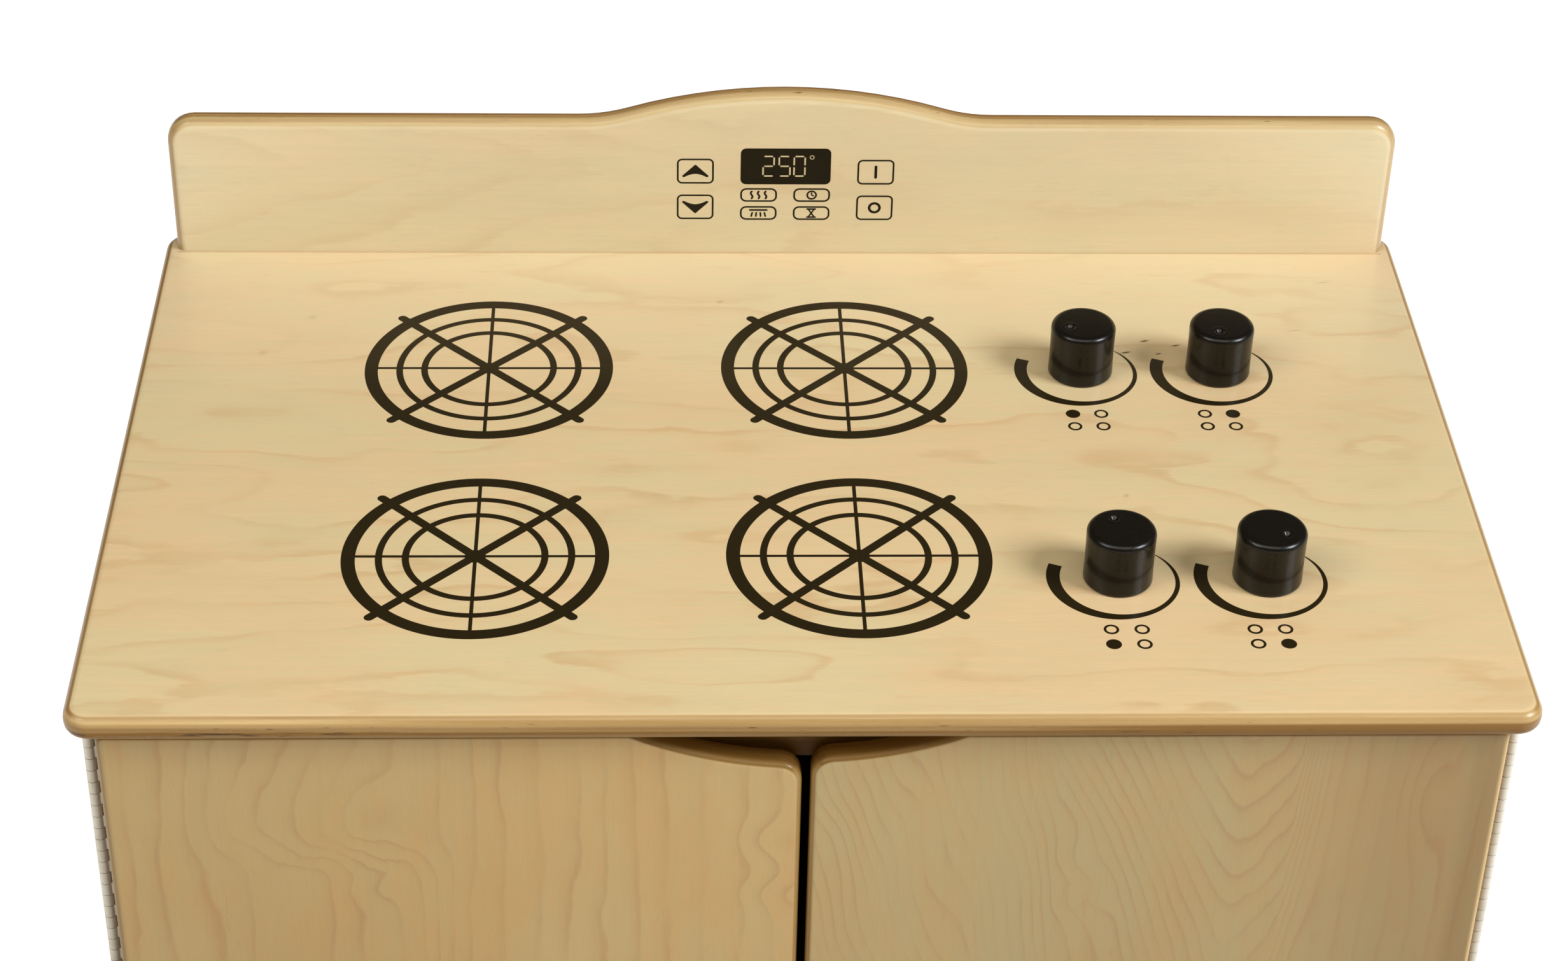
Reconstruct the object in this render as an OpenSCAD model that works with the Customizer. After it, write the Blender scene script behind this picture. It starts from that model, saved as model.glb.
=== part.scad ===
// Play stove for a child: plywood case on the floor, worktop with four turning
// knobs, arched backsplash and a pair of side-hung doors on full-height hinges.
// Millimetres, +Z up, front towards -Y. Origin: floor level, in the middle of
// the plan outline.

/* [Worktop] */
// Height of the worktop surface above the floor
top_h = 609.6; // [580:0.1:640]
// Width of the worktop
top_w = 609.6; // [590:0.1:640]
// Depth of the worktop
top_d = 381; // [370:0.5:400]
// Thickness of the plywood boards
board_t = 12; // [11.5:0.1:12.5]
// Corner radius of the worktop seen from above
top_corner_r = 11; // [7:0.5:20]
// Round-over radius on the worktop and backsplash edges
edge_r = 5; // [3:0.1:5.5]
// Overhang of the worktop past the sides and the door fronts
overhang = 6.3; // [5.5:0.1:7.5]

/* [Backsplash] */
// Height of the straight part of the top edge
splash_h = 73.4; // [60:0.1:90]
// Corner radius of the backsplash
splash_corner_r = 13.5; // [8:0.5:20]
// Radius of the arch in the middle
arch_r = 258; // [230:1:290]
// Rise of the arch over the straight edge
arch_rise = 15.2; // [12:0.1:18]
// Where the arch starts to leave the straight edge, from the middle
arch_start = 100; // [98:0.5:110]
// Distance from the worktop's back edge to the backsplash's back face
splash_back = 7.2; // [6:0.1:9]

/* [Case] */
// Gap from the worktop's front edge to the front of the side panels
case_front = 21.2; // [21.2:0.1:21.2]
// Gap from the worktop's back edge to the back of the side panels
case_back = 7; // [6:0.5:9]
// Height of the space under the bottom panel
toe_h = 60; // [55:1:70]
// How far the toe board stands behind the side panels' front
toe_set = 40; // [30:1:60]
// Height of the middle shelf's underside above the floor
shelf_z = 330; // [280:1:380]
// Height of the rail behind the door tops
rail_h = 25.2; // [24:0.1:27]
// Thickness of the back panel
back_t = 6; // [5:0.5:8]

/* [Doors] */
// Gap between the two doors
door_gap = 3.7; // [3:0.1:5]
// Gap between the door tops and the worktop
door_top_gap = 2; // [1.5:0.1:3]
// Height of the doors' bottom edge above the floor
door_bottom = 58; // [54:1:62]
// Round-over radius on the door edges
door_edge_r = 3; // [2:0.1:4]
// Radius of the finger scoop in the top edges
scoop_r = 168.5; // [160:0.5:180]
// Depth of the scoop below the worktop surface, left door
scoop_left = 30.7; // [28:0.1:33]
// Depth of the scoop below the worktop surface, right door
scoop_right = 27.6; // [26:0.1:31]
// Radius of the corner between the scoop and the door's inner edge
scoop_corner_r = 10; // [7:0.5:12]

/* [Hinges] */
// Outer radius of the hinge barrel
barrel_r = 2.45; // [2.3:0.01:2.5]
// Length of one knuckle with its gap
knuckle = 6.35; // [6:0.05:6.4]
// Thickness of a hinge leaf
leaf_t = 0.9; // [0.8:0.05:0.9]
// Width of the case leaf from the pin's centre to its free edge
leaf_w = 11.5; // [10.5:0.1:12]
// Width of the door leaf from the pin's centre to its free edge
door_leaf_w = 15; // [14.5:0.1:16]

/* [Knobs] */
// Outer radius of a knob
knob_r = 15.1; // [14.5:0.1:16]
// Height of a knob above the worktop
knob_h = 27; // [24:0.5:32]
// Sideways place of the left pair of knobs
knob_x1 = 136.8; // [130:0.1:145]
// Sideways place of the right pair of knobs
knob_x2 = 201.8; // [195:0.1:210]
// Place of the front knobs, from the middle of the worktop's depth
knob_y1 = -95.4; // [-105:0.1:-85]
// Place of the back knobs, from the middle of the worktop's depth
knob_y2 = 65.6; // [55:0.1:75]
// Distance of the pointer dimple from the knob's centre
dimple_at = 7.3; // [5:0.1:9]

/* [Hidden] */
$fn = 48;

fit = 0.05;                          // radial play of a fixed pin in its hole
birch = [0.87, 0.78, 0.6];
birch_in = [0.8, 0.7, 0.52];
nickel = [0.72, 0.69, 0.62];
steel = [0.66, 0.67, 0.68];
black = [0.06, 0.055, 0.05];
nylon = [0.9, 0.89, 0.85];

case_w = top_w - 2 * overhang;       // outer width of the case
in_x = case_w / 2 - board_t;         // inner face of a side panel
front_y = -top_d / 2 + case_front;   // front edge of the side panels
back_y = top_d / 2 - case_back;      // back edge of the side panels
under_z = top_h - board_t;           // underside of the worktop
panel_y = back_y - 22;               // rear face of the back panel
inner_y = panel_y - back_t;          // front face of the back panel
floor_z = toe_h + board_t;           // top of the bottom panel
splash_y = top_d / 2 - splash_back - board_t; // front of the backsplash

pin_x = case_w / 2 - 0.7;            // hinge axis
pin_y = front_y - leaf_t - 0.2;
pin_r = 1.1;
door_y = pin_y - leaf_t - 0.2 - board_t;      // front of the doors
door_out = case_w / 2 - 5.5;         // outer edge of a door
door_in = door_gap / 2;              // inner edge of a door
door_z = under_z - door_top_gap;     // top edge of the doors
knuckles = 2 * floor((door_z - door_bottom - 2) / knuckle / 2);
hinge_l = knuckles * knuckle;
hinge_z = door_z - 2.2 - hinge_l;
knuckle_gap = 0.3;
hinge_screws = 9;
case_screw_x = pin_x - 7.5;
door_screw_x = pin_x - 11;

cleat_s = 19;
cleat_y0 = front_y + 19;
cleat_y1 = inner_y - 25;
rail_z = under_z - rail_h;
catch_z = rail_z - 13;
catch_y = front_y - 0.8;             // front of the catch housings

stud_r = 3.175;
core_r = knob_r - 2.4;
knobs = [[knob_x1, knob_y2], [knob_x2, knob_y2], [knob_x1, knob_y1], [knob_x2, knob_y1]];
pointers = [-154, -108, 112, -42];   // where each dimple points at rest

dowels = [[front_y + 6, rail_z + 4.8], [inner_y - 6, under_z - 37], [inner_y - 6, under_z - 13],
    [front_y + 29, toe_h + 6], [0, toe_h + 6], [inner_y - 26, toe_h + 6],
    [front_y + toe_set + 6, 18], [front_y + toe_set + 6, 42]];

// ---- outlines: each point is [x, y, outward normal x, outward normal y] ----

function arc_pts(cx, cy, r, a0, a1, n, s = 1) =
    [for (i = [0:n]) let (a = a0 + (a1 - a0) * i / n)
        [cx + r * cos(a), cy + r * sin(a), s * cos(a), s * sin(a)]];

function plan_pts(w, d, r) = concat(
    arc_pts(w / 2 - r, -d / 2 + r, r, -90, 0, 8),
    arc_pts(w / 2 - r, d / 2 - r, r, 0, 90, 8),
    arc_pts(-w / 2 + r, d / 2 - r, r, 90, 180, 8),
    arc_pts(-w / 2 + r, -d / 2 + r, r, 180, 270, 8));

// Backsplash seen from the front: two concave fillets lead into the arch
arch_a = arch_r - arch_rise;
arch_f = (arch_start * arch_start + arch_a * arch_a - arch_r * arch_r) / (2 * (arch_r - arch_a));
arch_b = atan(arch_start / (arch_a + arch_f));
function splash_pts(w, h, r) = concat(
    [[-w / 2, 0, -1, 0], [w / 2, 0, 1, 0]],
    arc_pts(w / 2 - r, h - r, r, 0, 90, 8),
    arc_pts(arch_start, h + arch_f, arch_f, 270, 270 - arch_b, 5, -1),
    arc_pts(0, h - arch_a, arch_r, 90 - arch_b, 90 + arch_b, 14),
    arc_pts(-arch_start, h + arch_f, arch_f, 270 + arch_b, 270, 5, -1),
    arc_pts(-w / 2 + r, h - r, r, 90, 180, 8));

// Right-hand door seen from the front, with its half of the finger scoop
function door_pts(depth) =
    let (r = 4, rk = scoop_corner_r, R = scoop_r,
         zc = top_h - depth + R,
         zk = zc - sqrt(pow(R + rk, 2) - pow(door_in + rk, 2)),
         ut = sqrt(pow(R + r, 2) - pow(zc - door_z + r, 2)))
    concat(
        arc_pts(door_in + r, door_bottom + r, r, 180, 270, 4),
        arc_pts(door_out - r, door_bottom + r, r, 270, 360, 4),
        arc_pts(door_out - r, door_z - r, r, 0, 90, 4),
        arc_pts(ut, door_z - r, r, 90, atan2(zc - door_z + r, -ut), 3),
        arc_pts(0, zc, R, atan2(door_z - r - zc, ut), atan2(zk - zc, door_in + rk), 10, -1),
        arc_pts(door_in + rk, zk, rk, atan2(zc - zk, -door_in - rk), 180, 6));

// ---- shared shapes ----

// Board of thickness t with this outline and all its edges rounded over by r
module board(P, t, r, n = 5) {
    N = len(P);
    prof = concat(
        [for (k = [0:n]) let (f = 90 * k / n) [r * (1 - cos(f)), r * (1 - sin(f))]],
        [for (k = [n:-1:0]) let (f = 90 * k / n) [t - r * (1 - cos(f)), r * (1 - sin(f))]]);
    M = len(prof);
    pts = [for (q = prof) for (p = P) [p[0] - q[1] * p[2], p[1] - q[1] * p[3], q[0]]];
    polyhedron(points = pts, faces = concat(
        [[for (i = [0:N - 1]) i]],
        [[for (i = [N:-1:1]) (M - 1) * N + i % N]],
        [for (j = [0:M - 2]) for (i = [0:N - 1])
            let (k = (i + 1) % N, a = j * N + i, b = j * N + k, c = (j + 1) * N + k, d = (j + 1) * N + i)
            each [[a, d, c], [a, c, b]]]), convexity = 4);
}

// Stands a board up: its outline's y becomes height, its thickness runs back from y0
module upright(y0) { translate([0, y0 + board_t, 0]) rotate([90, 0, 0]) children(); }

// Flat-headed screw along +Z, its head flush with z = 0
module screw(d, dh, l) {
    hh = (dh - d) / 2;
    difference() {
        union() {
            cylinder(r1 = dh / 2, r2 = d / 2, h = hh);
            translate([0, 0, hh]) cylinder(r = d / 2, h = l - hh - d);
            translate([0, 0, l - d]) cylinder(r1 = d / 2, r2 = 0.2, h = d);
        }
        for (a = [0, 90]) rotate(a) translate([-dh * 0.27, -dh * 0.06, -1]) cube([dh * 0.54, dh * 0.12, 1 + hh * 0.6]);
    }
}

module screw_hole(d, dh, l) {
    hh = (dh - d) / 2;
    translate([0, 0, -1]) cylinder(r = dh / 2 + fit, h = 1.01);
    cylinder(r1 = dh / 2 + fit, r2 = d / 2 + fit, h = hh);
    translate([0, 0, hh - 0.01]) cylinder(r = d / 2 + fit, h = l - hh + 0.3);
}

// ---- where the fasteners sit ----

module at_cleat_screws(s) for (y = [-60, 60]) translate([s * (in_x - cleat_s), y, under_z - 9.5]) rotate([0, s * 90, 0]) children();
module at_cleat_top_screws(s) for (y = [-110, 0, 110]) translate([s * (in_x - 9.5), y, under_z - cleat_s]) children();
module at_rail_top_screws() for (x = [-150, 150]) translate([x, front_y + 6, rail_z]) children();
module at_splash_screws() for (x = [-240, -80, 80, 240]) translate([x, splash_y + board_t / 2, under_z]) children();
module at_back_screws() for (x = [-200, 0, 200]) for (z = [toe_h + 6, under_z - 25]) translate([x, panel_y, z]) rotate([90, 0, 0]) children();
module at_hinge_screws(s, x) for (i = [0:hinge_screws - 1]) translate([s * x, 0, hinge_z + 10.7 + i * (hinge_l - 21.4) / (hinge_screws - 1)]) children();
module at_case_leaf_screws(s) at_hinge_screws(s, case_screw_x) translate([0, pin_y + 0.2, 0]) rotate([-90, 0, 0]) children();
module at_door_leaf_screws(s) at_hinge_screws(s, door_screw_x) translate([0, pin_y - 0.2, 0]) rotate([90, 0, 0]) children();
module at_catch_screws() for (x = [-50, -18, 18, 50]) translate([x, front_y + 6.3, catch_z]) children();
module at_strike_screw(s) translate([s * 34, door_y + board_t + 1, catch_z + 6.5]) rotate([90, 0, 0]) children();
module at_dowels(s, x0) for (p = dowels) translate([s * x0, p[0], p[1]]) rotate([0, -s * 90, 0]) children();
module at_shelf_pins(s, x0) for (y = [-110, 110]) translate([s * x0, y, shelf_z - 2.55]) rotate([0, -s * 90, 0]) children();
module dowel_holes() for (s = [-1, 1]) at_dowels(s, in_x + 8.1) cylinder(r = 3 + fit, h = 24.4);

// ---- plywood ----

module worktop() {
    color(birch) difference() {
        translate([0, 0, under_z]) board(plan_pts(top_w, top_d, top_corner_r), board_t, edge_r);
        for (k = knobs) translate([k[0], k[1], under_z - 1]) cylinder(r = stud_r + 0.075, h = board_t + 2);
        at_splash_screws() screw_hole(4, 8, 38);
        at_rail_top_screws() screw_hole(3.5, 7, 33);
        for (s = [-1, 1]) at_cleat_top_screws(s) screw_hole(3.5, 7, 27);
    }
}

module backsplash() {
    color(birch) difference() {
        translate([0, 0, top_h]) upright(splash_y) board(splash_pts(case_w, splash_h, splash_corner_r), board_t, edge_r);
        at_splash_screws() screw_hole(4, 8, 38);
    }
}

// Plan outline of a side panel: outer corners rounded, inner corners square
module side_plan(r = 5) {
    d = back_y - front_y;
    union() {
        square([board_t - r, d]);
        translate([0, r]) square([board_t, d - 2 * r]);
        translate([board_t - r, r]) circle(r);
        translate([board_t - r, d - r]) circle(r);
    }
}

module side_panel(s) {
    color(birch) difference() {
        translate([s * in_x, front_y, 0]) mirror([s < 0 ? 1 : 0, 0, 0]) linear_extrude(under_z) side_plan();
        at_dowels(s, in_x + 8.1) cylinder(r = 3 + fit, h = 24.4);
        at_shelf_pins(s, in_x + 8.1) cylinder(r = 2.5 + fit, h = 20);
        at_case_leaf_screws(s) screw_hole(2.8, 5.3, 16);
        at_cleat_screws(s) screw_hole(3.5, 7, 27);
    }
}
module left_side_panel() { side_panel(-1); }
module right_side_panel() { side_panel(1); }

module bottom_panel() {
    color(birch_in) difference() {
        translate([-in_x, front_y, toe_h]) cube([2 * in_x, inner_y - front_y, board_t]);
        dowel_holes();
        at_back_screws() screw_hole(3, 6, 16);
    }
}

module middle_shelf() {
    color(birch_in) translate([-in_x + 1, front_y + 14, shelf_z]) cube([2 * in_x - 2, inner_y - 1 - front_y - 14, board_t]);
}

module back_panel() {
    color(birch_in) difference() {
        translate([-in_x, inner_y, toe_h - 15]) cube([2 * in_x, back_t, under_z - toe_h + 15]);
        at_back_screws() screw_hole(3, 6, 16);
    }
}

module front_top_rail() {
    color(birch_in) difference() {
        translate([-in_x, front_y, rail_z]) cube([2 * in_x, board_t, rail_h]);
        dowel_holes();
        at_rail_top_screws() screw_hole(3.5, 7, 33);
        at_catch_screws() screw_hole(3, 6, 22);
    }
}

module rear_top_rail() {
    color(birch_in) difference() {
        translate([-in_x, inner_y - board_t, under_z - 50]) cube([2 * in_x, board_t, 50]);
        dowel_holes();
        at_back_screws() screw_hole(3, 6, 16);
    }
}

module toe_board() {
    color(birch_in) difference() {
        translate([-in_x, front_y + toe_set, 0]) cube([2 * in_x, board_t, toe_h]);
        dowel_holes();
    }
}

module cleat(s) {
    color(birch_in) difference() {
        translate([s > 0 ? in_x - cleat_s : -in_x, cleat_y0, under_z - cleat_s]) cube([cleat_s, cleat_y1 - cleat_y0, cleat_s]);
        at_cleat_screws(s) screw_hole(3.5, 7, 27);
        at_cleat_top_screws(s) screw_hole(3.5, 7, 27);
    }
}
module left_cleat() { cleat(-1); }
module right_cleat() { cleat(1); }

// ---- case fasteners ----

module case_dowels() { color(birch_in) for (s = [-1, 1]) at_dowels(s, in_x + 8) cylinder(r = 3, h = 24); }

module shelf_pins() {
    color(steel) for (s = [-1, 1]) at_shelf_pins(s, in_x + 8) union() {
        cylinder(r = 2.5, h = 16);
        translate([0, 0, 8]) cylinder(r = 3.6, h = 0.9);
    }
}

module cleat_screws() { color(steel) for (s = [-1, 1]) at_cleat_screws(s) screw(3.5, 7, 27); }

module top_screws() {
    color(steel) {
        at_rail_top_screws() screw(3.5, 7, 33);
        for (s = [-1, 1]) at_cleat_top_screws(s) screw(3.5, 7, 27);
    }
}

module backsplash_screws() { color(steel) at_splash_screws() screw(4, 8, 38); }

module back_panel_screws() { color(steel) at_back_screws() screw(3, 6, 16); }

// ---- doors ----

module door(s, depth) {
    color(birch) difference() {
        mirror([s < 0 ? 1 : 0, 0, 0]) upright(door_y) board(door_pts(depth), board_t, door_edge_r);
        at_door_leaf_screws(s) screw_hole(2.8, 5.3, 9.5);
        at_strike_screw(s) screw_hole(3, 6, 9.5);
    }
}
module left_door() { door(-1, scoop_left); }
module right_door() { door(1, scoop_right); }

// ---- hinges: barrel axis along Z, plate towards the middle of the stove ----

module hinge_leaf(first, y0, w) {
    len_k = knuckle - knuckle_gap;
    difference() {
        union() {
            translate([-w, y0, 0]) cube([w - barrel_r - 0.35, leaf_t, hinge_l]);
            for (i = [first:2:knuckles - 1]) translate([0, 0, i * knuckle + knuckle_gap / 2]) {
                cylinder(r = barrel_r, h = len_k);
                translate([-barrel_r - 0.5, y0, 0]) cube([barrel_r - 0.8, leaf_t, len_k]);
            }
        }
        translate([0, 0, -1]) cylinder(r = pin_r + fit, h = hinge_l + 2);
    }
}
module at_hinge(s) { translate([s * pin_x, pin_y, hinge_z]) mirror([s < 0 ? 1 : 0, 0, 0]) children(); }

module case_leaf(s) {
    color(nickel) difference() {
        at_hinge(s) hinge_leaf(0, 0.2, leaf_w);
        at_case_leaf_screws(s) screw_hole(2.8, 5.3, 16);
    }
}
module door_leaf(s) {
    color(nickel) difference() {
        at_hinge(s) hinge_leaf(1, -0.2 - leaf_t, door_leaf_w);
        at_door_leaf_screws(s) screw_hole(2.8, 5.3, 9.5);
    }
}
module hinge_pin(s) { color(steel) at_hinge(s) cylinder(r = pin_r, h = hinge_l); }

module left_hinge_case_leaf() { case_leaf(-1); }
module right_hinge_case_leaf() { case_leaf(1); }
module left_hinge_door_leaf() { door_leaf(-1); }
module right_hinge_door_leaf() { door_leaf(1); }
module left_hinge_pin() { hinge_pin(-1); }
module right_hinge_pin() { hinge_pin(1); }
module hinge_case_screws() { color(nickel) for (s = [-1, 1]) at_case_leaf_screws(s) screw(2.8, 5.3, 16); }
module left_hinge_door_screws() { color(nickel) at_door_leaf_screws(-1) screw(2.8, 5.3, 9.5); }
module right_hinge_door_screws() { color(nickel) at_door_leaf_screws(1) screw(2.8, 5.3, 9.5); }

// ---- magnetic catches under the front rail, one for each door ----

module at_catch() { for (s = [-1, 1]) mirror([s < 0 ? 1 : 0, 0, 0]) translate([12, catch_y, catch_z]) children(); }

module catch_housings() {
    color(nylon) difference() {
        at_catch() difference() {
            cube([44, 14.1, 13]);
            translate([10, -1, 2.6]) cube([24, 10, 7.8]);
        }
        at_catch_screws() screw_hole(3, 6, 22);
    }
}
module catch_magnets() { color([0.2, 0.2, 0.2]) at_catch() translate([10.1, 0.3, 4]) cube([23.8, 8.5, 5]); }
module catch_pole_plates() {
    color(steel) at_catch() for (z = [2.7, 9.1]) translate([10.1, 0, z]) cube([23.8, 8.8, 1.2]);
}
module catch_screws() { color(steel) at_catch_screws() screw(3, 6, 22); }

module strike_plate(s) {
    color(nickel) difference() {
        translate([s > 0 ? 16 : -52, door_y + board_t, catch_z + 0.6]) cube([36, 1, 11.8]);
        at_strike_screw(s) screw_hole(3, 6, 9.5);
    }
}
module left_strike_plate() { strike_plate(-1); }
module right_strike_plate() { strike_plate(1); }
module left_strike_screw() { color(steel) at_strike_screw(-1) screw(3, 6, 9.5); }
module right_strike_screw() { color(steel) at_strike_screw(1) screw(3, 6, 9.5); }

// ---- knobs: heights are measured from the worktop surface ----

module at_knob(i) { translate([knobs[i][0], knobs[i][1], top_h]) children(); }

module knob_bearing_washers() {
    color(nylon) for (i = [0:3]) at_knob(i) difference() {
        cylinder(r = 11, h = 0.8);
        translate([0, 0, -1]) cylinder(r = stud_r + 0.2, h = 3);
    }
}

module knob_cap(i) {
    color(black) at_knob(i) difference() {
        rotate_extrude($fn = 96) difference() {
            union() {
                translate([0, 1.2]) square([knob_r, knob_h - 4.2]);
                translate([0, 0.4]) square([knob_r - 0.8, knob_h - 0.4]);
                translate([knob_r - 0.8, 1.2]) circle(0.8);
                translate([knob_r - 3, knob_h - 3]) circle(3);
            }
            translate([knob_r - 3, knob_h - 3]) difference() {
                square([4, 4]);
                circle(3);
            }
            translate([0, -1]) square([core_r + 0.1, knob_h - 1.3]);
        }
        rotate(pointers[i]) translate([dimple_at, 0, knob_h + 1.3]) sphere(r = 2.6);
    }
}

module knob_core(i) {
    color(birch_in) at_knob(i) difference() {
        translate([0, 0, 0.9]) cylinder(r = core_r, h = knob_h - 3.3);
        cylinder(r = stud_r + fit, h = 18);
    }
}

module knob_stud(i) {
    color(steel) at_knob(i) union() {
        translate([0, 0, -board_t - 12]) cylinder(r1 = stud_r - 0.7, r2 = stud_r, h = 0.7);
        translate([0, 0, -board_t - 11.3]) cylinder(r = stud_r, h = board_t + 28.4);
        translate([0, 0, 17.1]) cylinder(r1 = stud_r, r2 = stud_r - 0.7, h = 0.7);
    }
}

module knob_washer(i) {
    color(steel) at_knob(i) translate([0, 0, -board_t - 1.7]) difference() {
        cylinder(r = 9.5, h = 1.6);
        translate([0, 0, -1]) cylinder(r = stud_r + fit, h = 4);
    }
}

module knob_nut(i) {
    color(steel) at_knob(i) translate([0, 0, -board_t - 9.7]) difference() {
        union() {
            cylinder(r = 6.41, h = 5.4, $fn = 6);
            translate([0, 0, 5.4]) cylinder(r = 5.4, h = 2.5);
        }
        translate([0, 0, -1]) cylinder(r = stud_r + fit, h = 12);
    }
}

module knob_back_left_cap() { knob_cap(0); }
module knob_back_left_core() { knob_core(0); }
module knob_back_left_stud() { knob_stud(0); }
module knob_back_left_washer() { knob_washer(0); }
module knob_back_left_nut() { knob_nut(0); }
module knob_back_right_cap() { knob_cap(1); }
module knob_back_right_core() { knob_core(1); }
module knob_back_right_stud() { knob_stud(1); }
module knob_back_right_washer() { knob_washer(1); }
module knob_back_right_nut() { knob_nut(1); }
module knob_front_left_cap() { knob_cap(2); }
module knob_front_left_core() { knob_core(2); }
module knob_front_left_stud() { knob_stud(2); }
module knob_front_left_washer() { knob_washer(2); }
module knob_front_left_nut() { knob_nut(2); }
module knob_front_right_cap() { knob_cap(3); }
module knob_front_right_core() { knob_core(3); }
module knob_front_right_stud() { knob_stud(3); }
module knob_front_right_washer() { knob_washer(3); }
module knob_front_right_nut() { knob_nut(3); }

worktop();
backsplash();
left_side_panel();
right_side_panel();
bottom_panel();
middle_shelf();
back_panel();
front_top_rail();
rear_top_rail();
toe_board();
left_cleat();
right_cleat();
case_dowels();
shelf_pins();
cleat_screws();
top_screws();
backsplash_screws();
back_panel_screws();
left_hinge_case_leaf();
right_hinge_case_leaf();
left_hinge_pin();
right_hinge_pin();
hinge_case_screws();
catch_housings();
catch_magnets();
catch_pole_plates();
catch_screws();
knob_bearing_washers();
left_door();
left_hinge_door_leaf();
left_hinge_door_screws();
left_strike_plate();
left_strike_screw();
right_door();
right_hinge_door_leaf();
right_hinge_door_screws();
right_strike_plate();
right_strike_screw();
knob_back_left_cap();
knob_back_left_core();
knob_back_left_stud();
knob_back_left_washer();
knob_back_left_nut();
knob_back_right_cap();
knob_back_right_core();
knob_back_right_stud();
knob_back_right_washer();
knob_back_right_nut();
knob_front_left_cap();
knob_front_left_core();
knob_front_left_stud();
knob_front_left_washer();
knob_front_left_nut();
knob_front_right_cap();
knob_front_right_core();
knob_front_right_stud();
knob_front_right_washer();
knob_front_right_nut();
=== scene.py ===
import math

import bpy
import numpy as np
from mathutils import Matrix, Vector
from mathutils.geometry import delaunay_2d_cdt


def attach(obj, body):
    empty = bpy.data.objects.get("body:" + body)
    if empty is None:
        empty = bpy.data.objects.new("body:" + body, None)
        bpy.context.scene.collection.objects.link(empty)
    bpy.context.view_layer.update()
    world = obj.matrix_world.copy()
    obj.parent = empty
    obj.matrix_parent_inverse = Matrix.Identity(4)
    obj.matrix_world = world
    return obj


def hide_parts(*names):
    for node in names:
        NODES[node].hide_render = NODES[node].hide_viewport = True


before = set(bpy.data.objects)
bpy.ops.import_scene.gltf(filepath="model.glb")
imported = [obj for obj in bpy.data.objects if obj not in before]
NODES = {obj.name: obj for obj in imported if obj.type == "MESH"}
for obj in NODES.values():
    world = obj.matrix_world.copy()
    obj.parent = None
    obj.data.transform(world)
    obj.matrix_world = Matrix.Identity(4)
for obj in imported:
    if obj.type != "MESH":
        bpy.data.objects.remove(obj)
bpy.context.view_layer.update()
scene = bpy.context.scene
scene.view_settings.view_transform = "Standard"
X, Y, Z = 0, 1, 2

# Places in millimetres, in the row frame
TOP = 609.6
SPLASH_Y = 171.3
KNOBS = {
    "back_left": (136.8, 65.6, -154),
    "back_right": (201.8, 65.6, -108),
    "front_left": (136.8, -95.4, 112),
    "front_right": (201.8, -95.4, -42),
}


# ---------------------------------------------------------------- node trees


class E:
    """A value in a node tree that can be added, multiplied and so on."""

    def __init__(self, net, socket):
        self.net, self.socket = net, socket

    def __add__(self, o):
        return self.net.math("ADD", self, o)

    def __radd__(self, o):
        return self.net.math("ADD", o, self)

    def __sub__(self, o):
        return self.net.math("SUBTRACT", self, o)

    def __rsub__(self, o):
        return self.net.math("SUBTRACT", o, self)

    def __mul__(self, o):
        return self.net.math("MULTIPLY", self, o)

    def __rmul__(self, o):
        return self.net.math("MULTIPLY", o, self)

    def __truediv__(self, o):
        return self.net.math("DIVIDE", self, o)

    def __abs__(self):
        return self.net.math("ABSOLUTE", self)


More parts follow.
